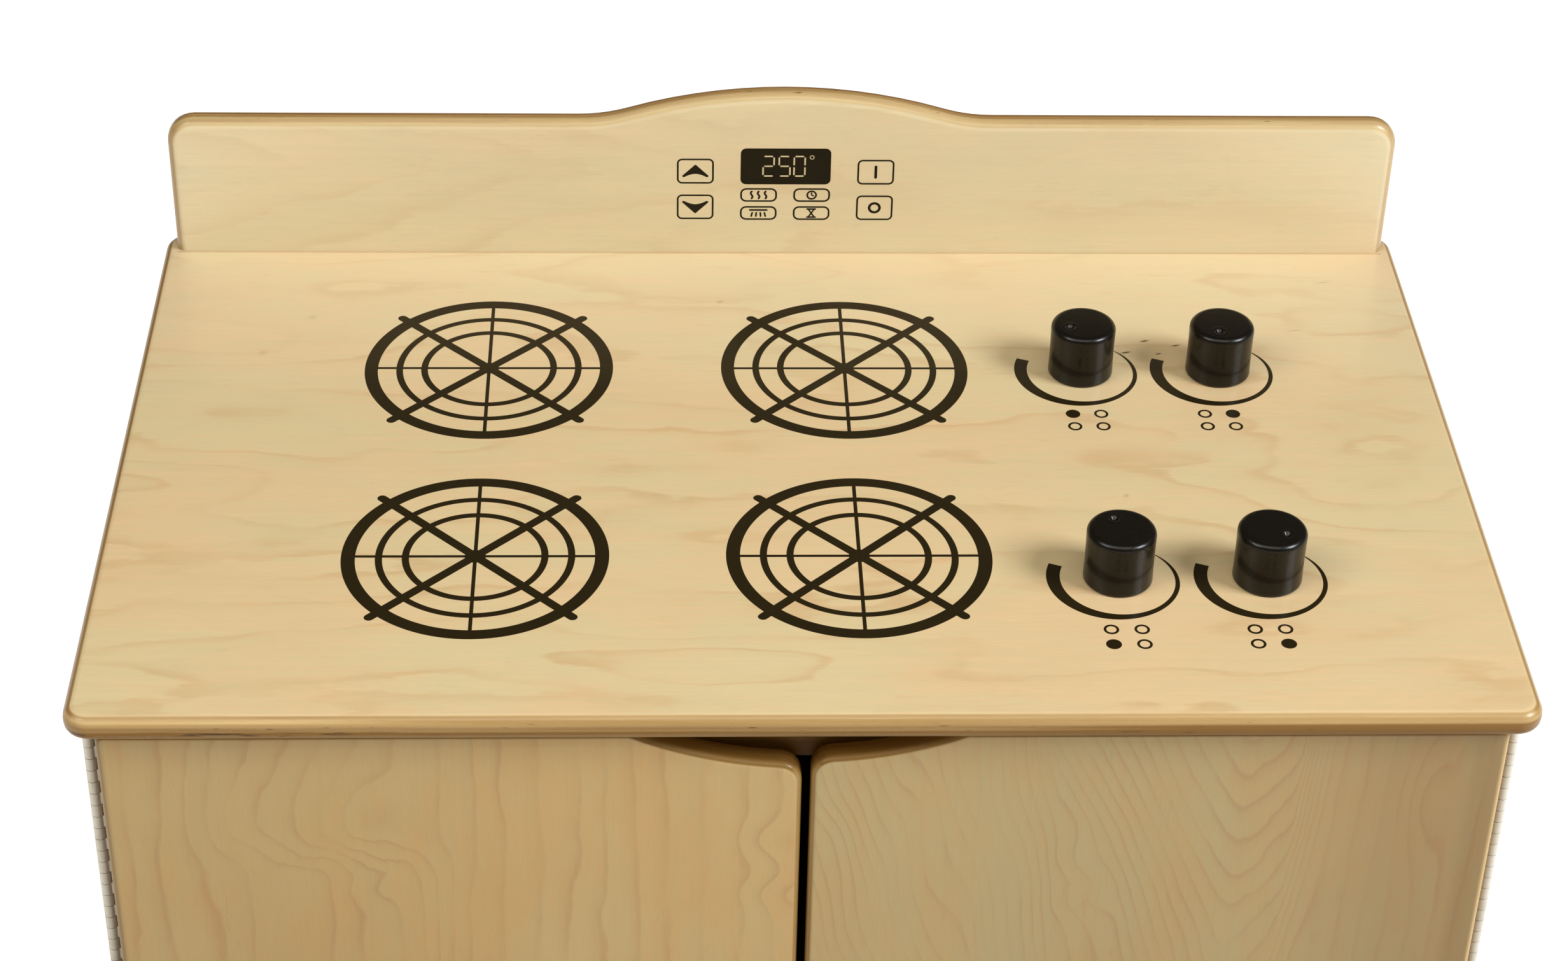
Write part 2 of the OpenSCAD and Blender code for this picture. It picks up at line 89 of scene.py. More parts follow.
class Net:
    """A material made of one Principled shader, with helpers that write its nodes."""

    def __init__(self, name):
        self.mat = bpy.data.materials.new(name)
        self.mat.use_nodes = True
        self.tree = self.mat.node_tree
        self.tree.nodes.clear()
        self.bsdf = self.new("ShaderNodeBsdfPrincipled")
        out = self.new("ShaderNodeOutputMaterial")
        self.tree.links.new(self.bsdf.outputs[0], out.inputs[0])
        self.coord = None

    def new(self, kind, **props):
        node = self.tree.nodes.new(kind)
        for key, value in props.items():
            setattr(node, key, value)
        return node

    def put(self, socket, value):
        if isinstance(value, E):
            self.tree.links.new(value.socket, socket)
        elif isinstance(value, (tuple, list)) and len(value) == 3 and socket.type == "RGBA":
            socket.default_value = (*value, 1.0)
        else:
            socket.default_value = value

    def set(self, **values):
        for key, value in values.items():
            self.put(self.bsdf.inputs[key.replace("_", " ")], value)
        return self

    def math(self, op, *args, clamp=False):
        node = self.new("ShaderNodeMath", operation=op, use_clamp=clamp)
        for socket, value in zip(node.inputs, args):
            self.put(socket, value)
        return E(self, node.outputs[0])

    def least(self, a, b):
        return self.math("MINIMUM", a, b)

    def most(self, a, b):
        return self.math("MAXIMUM", a, b)

    def step(self, x, a, b):
        """0 below a, 1 above b, smooth between."""
        node = self.new("ShaderNodeMapRange", interpolation_type="SMOOTHSTEP", clamp=True)
        for i, value in enumerate((x, a, b, 0.0, 1.0)):
            self.put(node.inputs[i], value)
        return E(self, node.outputs[0])

    def ramp(self, x, stops):
        """A grey ramp: stops are (place, value) from 0 to 1."""
        node = self.new("ShaderNodeValToRGB")
        ramp = node.color_ramp
        while len(ramp.elements) < len(stops):
            ramp.elements.new(0.5)
        for el, (at, value) in zip(ramp.elements, stops):
            el.position = at
            el.color = (value, value, value, 1)
        self.put(node.inputs[0], x)
        return E(self, node.outputs[0])

    def object_mm(self):
        if self.coord is None:
            self.coord = self.new("ShaderNodeTexCoord")
        scale = self.new("ShaderNodeVectorMath", operation="SCALE")
        self.tree.links.new(self.coord.outputs["Object"], scale.inputs[0])
        scale.inputs["Scale"].default_value = 1000.0
        sep = self.new("ShaderNodeSeparateXYZ")
        self.tree.links.new(scale.outputs[0], sep.inputs[0])
        return [E(self, s) for s in sep.outputs]

    def normal(self):
        if self.coord is None:
            self.coord = self.new("ShaderNodeTexCoord")
        sep = self.new("ShaderNodeSeparateXYZ")
        self.tree.links.new(self.coord.outputs["Normal"], sep.inputs[0])
        return [E(self, s) for s in sep.outputs]

    def at(self, x, y, z=0.0):
        node = self.new("ShaderNodeCombineXYZ")
        for socket, value in zip(node.inputs, (x, y, z)):
            self.put(socket, value)
        return E(self, node.outputs[0])

    def noise(self, place, detail=2.0, rough=0.5, twist=0.0):
        node = self.new("ShaderNodeTexNoise")
        self.put(node.inputs["Vector"], place)
        node.inputs["Scale"].default_value = 1.0
        node.inputs["Detail"].default_value = detail
        node.inputs["Roughness"].default_value = rough
        node.inputs["Distortion"].default_value = twist
        return E(self, node.outputs[0])

    def mix(self, factor, a, b, mode="MIX"):
        node = self.new("ShaderNodeMix", data_type="RGBA", blend_type=mode)
        by = {s.identifier: s for s in node.inputs}
        self.put(by["Factor_Float"], factor)
        self.put(by["A_Color"], a)
        self.put(by["B_Color"], b)
        return E(self, {s.identifier: s for s in node.outputs}["Result_Color"])

    def scale(self, colour, factor):
        node = self.new("ShaderNodeVectorMath", operation="SCALE")
        self.put(node.inputs[0], colour)
        self.put(node.inputs["Scale"], factor)
        return E(self, node.outputs[0])

    def bump(self, height, strength, distance):
        node = self.new("ShaderNodeBump")
        node.inputs["Strength"].default_value = strength
        node.inputs["Distance"].default_value = distance
        self.put(node.inputs["Height"], height)
        return E(self, node.outputs[0])


def hill(n, u, v, u0, v0, su, sv, height):
    a, b = (u - u0) * (1 / su), (v - v0) * (1 / sv)
    return n.math("EXPONENT", (a * a + b * b) * -1.0) * height


# ---------------------------------------------------------------- plywood

# How dark each layer shows on an edge, by depth from the good face, in twelfths
PLIES = [
    (0.00, 0.22), (0.035, 0.24), (0.090, 0.12), (0.125, 0.40), (0.200, 0.42),
    (0.225, 0.36), (0.320, 0.46), (0.345, 0.66), (0.440, 0.78), (0.460, 0.64),
    (0.520, 0.66), (0.550, 0.92), (0.660, 1.00), (0.690, 0.78), (0.790, 0.80),
    (0.815, 0.90), (0.880, 0.72), (0.910, 0.34), (0.965, 0.26), (1.00, 0.15),
]


def birch(
    name, grain, cross, thick, face, into, figure, seed,
    pale=(0.716, 0.562, 0.300), peach=(0.742, 0.540, 0.292), line=(0.610, 0.395, 0.190),
    lines=0.46, crisp=0.60, feather=0.20, gloss=0.30, extra=None,
    light=(0.610, 0.405, 0.150), dark=(0.272, 0.122, 0.020), sanded=0.24, sawn=0.52, plies=None, coat=0.26, veneer=0.015,
):
    """Lacquered birch plywood. face is where the good face lies on the thick axis, and into is +1 or -1 towards the board."""
    n = Net(name)
    p = n.object_mm()
    u, v, w = p[grain], p[cross], p[thick]
    s = seed * 7.31

    deep = (w - face) * into
    depth = n.least(deep, 12.0 - deep)

    patch = n.noise(n.at(u * (1 / 130) + s, v * (1 / 75) - s, 0.3), 3.0, 0.55)
    cloud = n.noise(n.at(u * (1 / 52) - s, v * (1 / 17) + s, 1.7), 3.0, 0.6)
    smear = n.noise(n.at(u * (1 / 22) + s, v * (1 / 2.9), w * (1 / 4.0)), 3.0, 0.6)
    streak = n.noise(n.at(u * (1 / 90) + s, v * (1 / 1.7), w * (1 / 4.0)), 3.0, 0.6)
    dash = n.step(n.noise(n.at(u * (1 / 9) - s, v * (1 / 1.15), 0.4), 2.0, 0.6), 0.55, 0.74)
    fibre = n.noise(n.at(u * (1 / 9.0) - s, v * (1 / 0.32), w * (1 / 0.5)), 2.0, 0.6)
    fleck = n.step(n.noise(n.at(u * (1 / 2.4) + s, v * (1 / 0.45), 0.9), 1.0), 0.68, 0.80)
    spot = n.step(n.noise(n.at(u * (1 / 26) - s, v * (1 / 16), 5.2), 1.0), 0.54, 0.72)

    # growth lines: level lines of a slow field, dark on one side and feathered along the grain
    h = figure(n, u, v, s) + (smear - 0.5) * feather
    f = n.math("FRACT", h)
    late = n.step(f, 0.30, 0.92) * (1.0 - n.step(f, 0.92, 1.0))
    thin = n.step(f, 0.70, 0.88) * (1.0 - n.step(f, 0.88, 1.0))
    fade = n.step(n.noise(n.at(u * (1 / 90) + s, v * (1 / 32), 3.1), 3.0), 0.34, 0.66)
    mark = (late * (1.0 - crisp) + thin * crisp) * (0.16 + fade * 0.84)
    ring = n.noise(n.at(n.math("FLOOR", h) * 3.77 + s, 0.5, 0.5), 0.0)

    hue = n.step(patch * 0.50 + cloud * 0.26 + smear * 0.24 + (ring - 0.5) * 0.10, 0.40, 0.60)
    colour = n.mix(hue, pale, peach)
    colour = n.mix(mark * lines, colour, line)
    tone = (
        1.0
        + (cloud - 0.5) * 0.070
        + (ring - 0.5) * 0.030
        + (smear - 0.5) * 0.075
        + (streak - 0.5) * 0.070
        + (fibre - 0.5) * 0.080
        - dash * (0.020 + spot * 0.045)
        - fleck * (0.03 + spot * 0.13)
    )
    colour = n.scale(colour, tone)
    if extra:
        colour = extra(n, u, v, depth, colour)

    # edges: layers by depth, with the sawn ends of the cross layers darker and patchy
    nx = n.normal()
    short = n.step(abs(nx[grain]) - abs(nx[cross]), -0.15, 0.15)
    sway = n.noise(n.at(u * (1 / 70) + s, v * (1 / 70) - s, w * (1 / 9)), 2.0)
    layer = n.ramp((deep + (sway - 0.5) * 0.9) * (1 / 12), PLIES)
    layer = layer + short * (sawn - layer * 0.85)
    slow = n.noise(n.at(u * (1 / 110) - s, v * (1 / 110) + s, w * (1 / 2.0)), 2.0)
    grainy = n.noise(n.at(u * (1 / 7) + s, v * (1 / 7), w * (1 / 0.22)), 3.0, 0.65)
    pores = n.noise(n.at(u * 1.3, v * 1.3, w * 1.9), 2.0, 0.6)
    layer = layer + (slow - 0.5) * 0.55 + (grainy - 0.5) * 0.30 + (pores - 0.5) * 0.22 * layer
    if plies:
        layer = plies(n, u, v, deep, layer)
    edge = n.mix(n.math("ADD", layer, 0.0, clamp=True), light, dark)
    void = n.step(n.noise(n.at(u * (1 / 9) + s, v * (1 / 9), w * (1 / 0.9) + s), 1.0), 0.70, 0.78)
    void = void * n.step(depth, 2.2, 3.2) * 0.8
    if plies:
        void = n.most(void, n.most(layer - 1.35, 0.0))
    edge = n.mix(n.math("ADD", void, 0.0, clamp=True), edge, (0.07, 0.034, 0.010))
    cut = n.step(depth + (sway - 0.5) * 0.10, veneer, sanded)
    colour = n.mix(cut, colour, edge)

    rough = gloss + 0.02 + (cloud - 0.5) * 0.10 + (fibre - 0.5) * 0.06 + cut * 0.07
    n.set(Base_Color=colour, Roughness=rough, Specular_IOR_Level=0.30)
    n.set(Coat_Weight=coat, Coat_Roughness=0.12, Coat_IOR=1.5)
    n.set(Normal=n.bump(fibre * 0.6 + streak * 0.8 + cut * grainy * 1.5, 0.22, 0.00006))
    return n.mat


# ---- figures: each returns a field whose whole numbers are the growth lines


def plain_figure(spacing=15.0, sway=26.0, ripple=3.5, slant=0.0):
    def field(n, u, v, s):
        a = n.noise(n.at(u * (1 / 260) + s, v * (1 / 85) - s, 0.2), 2.0, 0.5) - 0.5
        b = n.noise(n.at(u * (1 / 48) - s, v * (1 / 26) + s, 1.2), 2.0, 0.5) - 0.5
        return (v + a * sway * 5.0 + b * ripple * 4.0 + u * slant) * (1 / spacing)

    return field


def top_figure(n, u, v, s):
    """Flames that point right at the left, two long closed loops, and a restless right-hand side."""
    a = n.noise(n.at(u * (1 / 230) + 4.3, v * (1 / 62) + 1.1, 0.2), 2.0, 0.5) - 0.5
    b = n.noise(n.at(u * (1 / 42) + 2.2, v * (1 / 17) + 7.7, 1.2), 3.0, 0.5) - 0.5
    h = v * 0.020 + a * 4.6 + b * 0.85
    h = h + hill(n, u, v, -45, -153, 78, 15, -2.0)
    h = h + hill(n, u, v, -312, -21, 92, 17, -2.4)
    h = h + hill(n, u, v, -300, 92, 120, 22, 1.8)
    h = h + hill(n, u, v, 268, -20, 60, 62, 2.0)
    h = h + hill(n, u, v, -60, 160, 150, 26, -1.4)
    return h


def splash_figure(n, u, v, s):
    """Faint arrow-like bends left of the middle, calm at the right."""
    a = n.noise(n.at(u * (1 / 150) + 1.3, v * (1 / 46) + 3.3, 0.2), 2.0, 0.5) - 0.5
    b = n.noise(n.at(u * (1 / 30) + 2.2, v * (1 / 13) + 7.7, 1.2), 3.0, 0.5) - 0.5
    bend = abs(v - 652.0 + u * 0.02) * 1.3
    left = 1.0 - n.step(u, -110, 40)
    return (u * 0.36 * left + bend * left + (v - 640.0) * 0.42 * (1.0 - left)) * (1 / 29) + a * 2.0 + b * 0.55


def left_figure(n, z, x, s):
    """Upright lines that lean out, then swing back in wavy steps in the left half."""
    a = n.noise(n.at(z * (1 / 170) + 0.7, x * (1 / 60) + 2.9, 0.2), 2.0, 0.5) - 0.5
    b = n.noise(n.at(z * (1 / 26) + 5.1, x * (1 / 17) + 1.7, 1.2), 3.0, 0.5) - 0.5
    low = TOP - z + b * 20.0
    zone = n.step(x, -268, -236) * (1.0 - n.step(x, -186, -156))
    lean = n.step(low, 4, 62) * (1.0 - n.step(low, 62, 92)) * zone * 19.0
    inner = n.step(x, -234, -204) * (1.0 - n.step(x, -172, -138))
    swing = n.step(low, 66, 96) * (1.0 - n.step(low, 170, 340)) * inner * 27.0
    h = (x + lean - swing + a * 30.0 + b * 6.0) * (1 / 14.0)
    h = h + hill(n, x, z, -14, TOP - 72, 13, 10, 0.9) + hill(n, x, z, -12, TOP - 103, 15, 9, 0.8)
    h = h + hill(n, x, z, -186, TOP - 58, 18, 12, 0.5) + hill(n, x, z, -180, TOP - 98, 15, 9, 0.7)
    h = h + hill(n, x, z, -96, TOP - 330, 30, 70, 2.4) + hill(n, x, z, -205, TOP - 460, 34, 60, -2.2)
    return h


def right_figure(n, z, x, s):
    """A nest of pointed bows that open upwards about one upright line, with straighter lines beside it."""
    a = n.noise(n.at(z * (1 / 150) + 3.7, x * (1 / 70) + 0.9, 0.2), 2.0, 0.5) - 0.5
    b = n.noise(n.at(z * (1 / 30) + 1.1, x * (1 / 18) + 6.7, 1.2), 3.0, 0.5) - 0.5
    h = z - TOP
    ease = n.most(n.least(h + 190.0, 80.0), 0.0)
    h = ease * ease * (1 / 160) - 150.0 + n.most(h + 110.0, 0.0) + b * 9.0
    d = (x - 186.0) * -1.0 + a * 12.0 + b * 3.0
    near = n.most(n.math("SQRT", d * d + 16.0) - 4.0, 0.0)
    far_left = n.step(d, 0.0, 18.0)
    out = n.most(d * -1.0 - 20.0, 0.0) * 4.7
    run = n.most(d, 0.0)
    rise = near * (2.15 + a * 1.5) + run * run * 0.006 + n.most(run - 80.0, 0.0) * 4.4 - n.most(run - 112.0, 0.0) * 4.2
    t = h - rise - out
    pack = n.most(t * -1.0 - 95.0, 0.0) * 0.012 - n.most(t * -1.0 - 240.0, 0.0) * 0.034 + n.most(t * -1.0 - 520.0, 0.0) * 0.010
    nest = t * 0.05 - pack * far_left + b * 0.30
    side = (x - 214.0 + a * 14.0 + b * 5.0) * -0.098 - 10.0
    away = n.step(x, 204.0, 225.0)
    f = nest * (1.0 - away) + side * away
    f = f + hill(n, x, z, 116, TOP - 84, 12, 12, 0.7) + hill(n, x, z, 120, TOP - 108, 14, 9, 0.7)
    f = f + hill(n, x, z, 262, TOP - 52, 10, 30, -1.5)
    return f + a * 1.2 + (z - TOP) * 0.003


def shaded_rim(n, z, x, depth, colour):
    """The right door is a little darker and browner towards its hinge edge, and painted light lifts it just under the
    worktop's nosing.
    """
    shade = n.step(x, 190.0, 270.0)
    dusk = n.step(x, 40.0, 110.0) * 0.05 + shade * 0.17 + n.step(x, 275.0, 282.5) * 0.13
    # painted light where the worktop's nosing casts its shadow on the door
    painted_light_under_nosing = n.step(z, 583.5, 594.5) * 0.22
    return n.mix(shade * 0.22, n.scale(colour, 1.0 - dusk + painted_light_under_nosing), (0.400, 0.190, 0.050))


def door_plies(n, u, v, deep, layer):
    """Darker layers than the worktop's, partly the doors' own plies and partly painted shade for the scoop under the
    worktop, but pale on the outer edge of the right door.
    """
    return layer * 0.60 + 0.42 - n.step(v, 287.0, 291.5) * 0.50


def shaded_edge(n, z, x, depth, colour):
    """Painted shade: the left door is a little darker towards its hinge, and brown on the last millimetres; painted
    light lifts it just under the worktop's nosing.
    """
    # painted shade towards the hinge and on the last millimetres of the outer edge
    dusk = (1.0 - n.step(x, -262.0, -50.0)) * 0.10 + (1.0 - n.step(x, -293.2, -288.6)) * 0.42
    # painted light where the worktop's nosing casts its shadow on the door
    painted_light_under_nosing = n.step(z, 583.5, 594.5) * 0.20
    return n.scale(colour, 1.0 - dusk + painted_light_under_nosing)


def top_plies(n, u, v, deep, layer):
    """Layers of the worktop edge: darker to the right, a pale layer high up at the left that is a painted highlight,
    the lowest layer painted lighter as painted light, and gaps in one layer there.
    """
    left = 1.0 - n.step(u, -230, -130)
    # painted highlight: a pale band high on the left of the round-over, where a lamp's reflection falls
    pale = hill(n, deep, u * 0.0, 2.0, 0.0, 0.65, 1.0, 0.40)
    gaps = n.step(n.noise(n.at(u * (1 / 16), deep * 0.5, 8.8), 2.0), 0.50, 0.60) * hill(n, deep, u * 0.0, 7.4, 0.0, 0.8, 1.0, 1.6)
    front = 1.0 - n.step(v, -184, -178)
    right = n.step(u, 40, 230) * (n.step(deep, 3.4, 4.8) * 0.42 - (1.0 - n.step(deep, 2.6, 4.2)) * 0.10)
    seam = hill(n, deep, u * 0.0, 0.85, 0.0, 0.32, 1.0, 0.22)
    # the last term paints the lowest layer lighter: painted light on the nosing's underside
    layer = layer * 0.70 + 0.28 + seam - n.step(deep, 10.5, 11.0) * 0.25
    return layer + right - pale * left * front * 1.25 + gaps * left * front


def stains_and_painted_sheen(n, u, v, depth, colour):
    """Small mineral flecks near the back pair of knobs, a few knots elsewhere, warm streaks, a dark line along the foot
    of the backsplash, and a painted sheen that pales the worktop towards the back.
    """
    spots = [
        (170.3, 91.2, 1.6, 0.55, 2.0), (160.3, 81.3, 1.9, 0.6, 1.8),
        (184.8, 87.4, 1.7, 0.5, 1.8), (175.7, 80.2, 1.2, 0.5, 1.6),
        (264.5, 143.8, 3.0, 0.4, 0.4), (-32.0, 125.6, 1.4, 1.1, 0.35),
        (-227.0, 111.5, 1.6, 1.6, 0.22), (-248.0, 80.6, 1.8, 1.8, 0.22),
        (147.5, -35.0, 1.2, 1.3, 0.30), (243.5, 100.5, 3.2, 0.5, 0.25),
    ]
    mask = None
    for u0, v0, su, sv, k in spots:
        one = hill(n, u, v + (u - u0) * -0.25, u0, v0, su, sv, k)
        mask = one if mask is None else n.most(mask, one)
    blot = n.noise(n.at(u * 1.4, v * 1.9, 2.0), 2.0) + 0.35
    # painted sheen: the worktop paler towards the back, where the lacquer reflects the bright studio
    colour = n.mix(n.step(v, 10.0, 185.0) * 0.26, colour, (0.780, 0.690, 0.500))
    warm = n.noise(n.at(u * (1 / 16), v * (1 / 2.6), 4.4), 3.0, 0.6)
    place = n.noise(n.at(u * (1 / 90) + 3.0, v * (1 / 40), 6.1), 2.0)
    colour = n.mix(n.step(warm, 0.56, 0.72) * n.step(place, 0.46, 0.62) * 0.24, colour, (0.660, 0.420, 0.190))
    seam = n.math("EXPONENT", (v - 170.8) * (v - 170.8) * -2.6) * (1.0 - n.step(abs(u), 297.0, 299.0))
    colour = n.mix(seam * 0.62, colour, (0.400, 0.220, 0.080))
    return n.mix(n.math("MULTIPLY", mask, blot, clamp=True), colour, (0.10, 0.045, 0.016))


WOOD = {}
WOOD["worktop"] = birch("birch_worktop", X, Y, Z, 609.6, -1, top_figure, 1.0, pale=(0.692, 0.556, 0.304), peach=(0.726, 0.524, 0.284), line=(0.590, 0.365, 0.165), lines=0.52, crisp=0.70, extra=stains_and_painted_sheen, plies=top_plies, veneer=0.20, sanded=0.52, light=(0.705, 0.500, 0.228), dark=(0.262, 0.124, 0.016))
WOOD["backsplash"] = birch("birch_backsplash", X, Z, Y, SPLASH_Y, 1, splash_figure, 2.0, pale=(0.762, 0.655, 0.408), peach=(0.782, 0.634, 0.392), line=(0.660, 0.490, 0.272), lines=0.30, crisp=0.40, light=(0.67, 0.505, 0.245), sanded=0.95, sawn=0.42)
# Door and side-panel birch: darker and more saturated than the worktop's, partly the veneer's own colour and partly
# painted shade for the lower light on upright faces; the darker edge colours are partly painted shade in the scoop.
DOOR = dict(pale=(0.615, 0.432, 0.186), peach=(0.620, 0.392, 0.155), line=(0.480, 0.262, 0.105), lines=0.46, crisp=0.50, feather=0.14, light=(0.560, 0.360, 0.115), dark=(0.160, 0.064, 0.004), sanded=0.40, plies=door_plies, coat=0.19)
WOOD["left_door"] = birch("birch_left_door", Z, X, Y, -183.5, 1, left_figure, 3.0, extra=shaded_edge, **DOOR)
WOOD["right_door"] = birch("birch_right_door", Z, X, Y, -183.5, 1, right_figure, 4.0, extra=shaded_rim, **{**DOOR, "pale": (0.535, 0.407, 0.187), "peach": (0.545, 0.374, 0.160), "line": (0.450, 0.245, 0.110), "lines": 0.42, "crisp": 0.55})
WOOD["left_side_panel"] = birch("birch_left_side", Z, Y, X, -298.5, 1, plain_figure(17, 34, 4), 5.0, **DOOR)
WOOD["right_side_panel"] = birch("birch_right_side", Z, Y, X, 298.5, -1, plain_figure(15, 38, 4), 6.4, **DOOR)
INNER = dict(pale=(0.640, 0.485, 0.245), peach=(0.640, 0.445, 0.210), line=(0.480, 0.300, 0.130), gloss=0.40)
WOOD["bottom_panel"] = birch("birch_bottom", X, Y, Z, 72.0, -1, plain_figure(16, 30, 4), 7.7, **INNER)
WOOD["middle_shelf"] = birch("birch_shelf", X, Y, Z, 342.0, -1, plain_figure(14, 36, 4), 8.1, **INNER)
WOOD["back_panel"] = birch("birch_back", Z, X, Y, 155.5, 1, plain_figure(18, 60, 5), 9.2, **INNER)
# The front top rail is a far darker brown than the other inner boards: painted shade for the shadow under the worktop's
# overhang.
WOOD["front_top_rail"] = birch("birch_front_rail", X, Z, Y, -169.3, 1, plain_figure(15, 20, 4), 10.6, pale=(0.235, 0.118, 0.022), peach=(0.220, 0.104, 0.018), line=(0.14, 0.058, 0.010), gloss=0.55, coat=0.04)
WOOD["rear_top_rail"] = birch("birch_rear_rail", X, Z, Y, 143.5, 1, plain_figure(15, 20, 4), 11.3, **INNER)
WOOD["toe_board"] = birch("birch_toe_board", X, Z, Y, -129.3, 1, plain_figure(16, 24, 4), 12.9, **INNER)


def beech(name, grain, a, b):
    """Plain sanded beech: short dark rays and fine lines along the grain."""
    n = Net(name)
    p = n.object_mm()
    u, v, w = p[grain], p[a], p[b]
    line = n.noise(n.at(u * (1 / 60), v * (1 / 1.1), w * (1 / 1.6)), 3.0, 0.6)
    ray = n.step(n.noise(n.at(u * (1 / 2.2), v * (1 / 0.35), w * (1 / 0.35)), 1.0), 0.60, 0.70)
    tone = 1.0 + (line - 0.5) * 0.30 - ray * 0.18
    n.set(Base_Color=n.scale(n.mix(line, (0.640, 0.430, 0.255), (0.560, 0.350, 0.200)), tone))
    n.set(Roughness=0.50 + (line - 0.5) * 0.15, Normal=n.bump(line - ray, 0.3, 0.00008))
    return n.mat


WOOD["left_cleat"] = WOOD["right_cleat"] = beech("beech_cleat", Y, X, Z)
WOOD["case_dowels"] = beech("beech_dowel", X, Y, Z)
BEECH_CORE = beech("beech_core", Z, X, Y)


def metal(name, colour, rough, brush, tarnish=0.25, shine=0.85):
    """Plated steel with a soft brushed direction, cloudy gloss and a little tarnish."""
    n = Net(name)
    p = n.object_mm()
    scale = [(1 / 0.25), (1 / 0.25), (1 / 0.25)]
    scale[brush] = 1 / 14
    fine = n.noise(n.at(p[0] * scale[0], p[1] * scale[1], p[2] * scale[2]), 2.0, 0.6)
    cloud = n.noise(n.at(p[0] * (1 / 12), p[1] * (1 / 12), p[2] * (1 / 12)), 3.0, 0.6)
    tone = 1.0 + (fine - 0.5) * 0.18 - n.step(cloud, 0.50, 0.72) * tarnish
    n.set(Base_Color=n.scale(n.mix(cloud, colour, tuple(c * f for c, f in zip(colour, (0.95, 0.90, 0.80)))), tone))
    n.set(Metallic=shine, Roughness=rough + (fine - 0.5) * 0.16 + (cloud - 0.5) * 0.18)
    n.set(Normal=n.bump(fine, 0.25, 0.00003))
    return n.mat


NICKEL = metal("satin_nickel", (0.745, 0.700, 0.600), 0.46, Z, 0.12, 0.36)
ZINC = metal("bright_zinc", (0.60, 0.61, 0.60), 0.34, Z, 0.22)


def nylon(name):
    n = Net(name)
    p = n.object_mm()
    skin = n.noise(n.at(p[0] * 2.2, p[1] * 2.2, p[2] * 2.2), 2.0, 0.6)
    cloud = n.noise(n.at(p[0] * (1 / 14), p[1] * (1 / 14), p[2] * (1 / 14)), 2.0)
    n.set(Base_Color=n.mix(cloud, (0.80, 0.78, 0.72), (0.74, 0.71, 0.64)), Roughness=0.42 + (skin - 0.5) * 0.2)
    n.set(Subsurface_Weight=0.08, Subsurface_Radius=(0.002, 0.0016, 0.001), Normal=n.bump(skin, 0.25, 0.00004))
    return n.mat


def ferrite(name):
    n = Net(name)
    p = n.object_mm()
    grit = n.noise(n.at(p[0] * 3.0, p[1] * 3.0, p[2] * 3.0), 3.0, 0.7)
    n.set(Base_Color=n.mix(grit, (0.030, 0.029, 0.028), (0.075, 0.072, 0.068)), Roughness=0.55 + (grit - 0.5) * 0.3)
    n.set(Normal=n.bump(grit, 0.5, 0.0001))
    return n.mat


def vinyl(name):
    """Glossy dip-moulded vinyl: near black with a warm cast, a soft skin and small scuffs."""
    n = Net(name)
    p = n.object_mm()
    skin = n.noise(n.at(p[0] * (1 / 3.2), p[1] * (1 / 3.2), p[2] * (1 / 5.0)), 2.0, 0.5)
    grain = n.noise(n.at(p[0] * 2.6, p[1] * 2.6, p[2] * 2.6), 2.0, 0.6)
    scuff = n.step(n.noise(n.at(p[0] * (1 / 0.5), p[1] * (1 / 3.5), p[2] * (1 / 1.2)), 2.0), 0.66, 0.74)
    dust = n.step(n.noise(n.at(p[0] * 4.1, p[1] * 4.1, p[2] * 4.1), 0.0), 0.76, 0.80)
    n.set(Base_Color=n.mix(dust * 0.30 + scuff * 0.08, (0.0048, 0.0034, 0.0016), (0.10, 0.095, 0.085)))
    n.set(Roughness=0.31 + (skin - 0.5) * 0.10 + scuff * 0.08, Specular_IOR_Level=0.24)
    n.set(Coat_Weight=0.21, Coat_Roughness=0.07)
    n.set(Normal=n.bump(skin * 1.0 + grain * 0.10, 0.35, 0.0002))
    return n.mat


def ink(name, dark, light):
    """A thin screen print under the lacquer: slightly uneven, with the wood grain showing in its gloss."""
    n = Net(name)
    p = n.object_mm()
    uneven = n.noise(n.at(p[0] * (1 / 30), p[1] * (1 / 18), p[2] * (1 / 18)), 3.0, 0.6)
    fibre = n.noise(n.at(p[0] * (1 / 8), p[1] * (1 / 0.5), p[2] * (1 / 0.5)), 2.0, 0.6)
    n.set(Base_Color=n.mix(uneven * 0.6 + fibre * 0.4, dark, light))
    n.set(Roughness=0.38 + (fibre - 0.5) * 0.12, Specular_IOR_Level=0.16, Coat_Weight=0.12, Coat_Roughness=0.14)
    n.set(Normal=n.bump(fibre, 0.15, 0.00004))
    return n.mat


VINYL = vinyl("black_vinyl")
INK = ink("printed_ink", (0.0145, 0.0090, 0.0018), (0.0230, 0.0148, 0.0036))
PANEL_INK = ink("panel_ink", (0.0088, 0.0062, 0.0022), (0.0135, 0.0098, 0.0038))
NUMERAL = ink("display_segments", (0.62, 0.505, 0.300), (0.72, 0.600, 0.370))
NYLON, FERRITE = nylon("white_nylon"), ferrite("ferrite")

BY_SLOT = {
    "nickel_hinge": NICKEL, "zinc_steel": ZINC, "white_nylon": NYLON,
    "ferrite": FERRITE, "black_vinyl": VINYL, "beech_solid": BEECH_CORE,
}


# ---------------------------------------------------------------- CAD nodes


